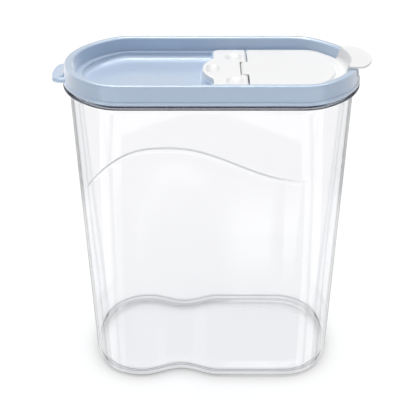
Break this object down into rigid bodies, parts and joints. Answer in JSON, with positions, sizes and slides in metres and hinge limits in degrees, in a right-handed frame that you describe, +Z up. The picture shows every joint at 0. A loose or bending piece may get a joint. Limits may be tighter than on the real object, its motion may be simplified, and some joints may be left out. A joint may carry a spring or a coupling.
{
  "type": "cereal container with flip spout",
  "caption": "Tall clear tapered food container with a pinched grip, a lift-off lid with a pull tab and a hinged pour flap with a thumb tab.",
  "frame": {"origin": "middle of the footprint, on the plane the container stands on", "axes": "+X along the length towards the spout, -Y towards the front with the crease, +Z up"},
  "size_m": [0.231, 0.1232, 0.2432],
  "materials": {
    "clear_plastic": "clear, gloss",
    "blue_plastic": "translucent light blue, gloss",
    "white_plastic": "white, fine matt",
    "seal": "soft translucent white"
  },
  "bodies": {
    "container": {"container_body": "clear_plastic"},
    "lid": {"lid": "blue_plastic", "lid_seal": "seal", "hinge_base": "white_plastic"},
    "flap": {"spout_flap": "white_plastic", "flap_seal": "seal"}
  },
  "joints": [
    {"name": "lid_lift", "type": "slide", "parent": "container", "child": "lid", "axis": [0, 0, 1], "range_m": [0, 0.1]},
    {"name": "flap_hinge", "type": "hinge", "parent": "lid", "child": "flap", "pos_m": [0.024, 0, 0.2318], "axis": [0, -1, 0], "range_deg": [0, 95]}
  ]
}
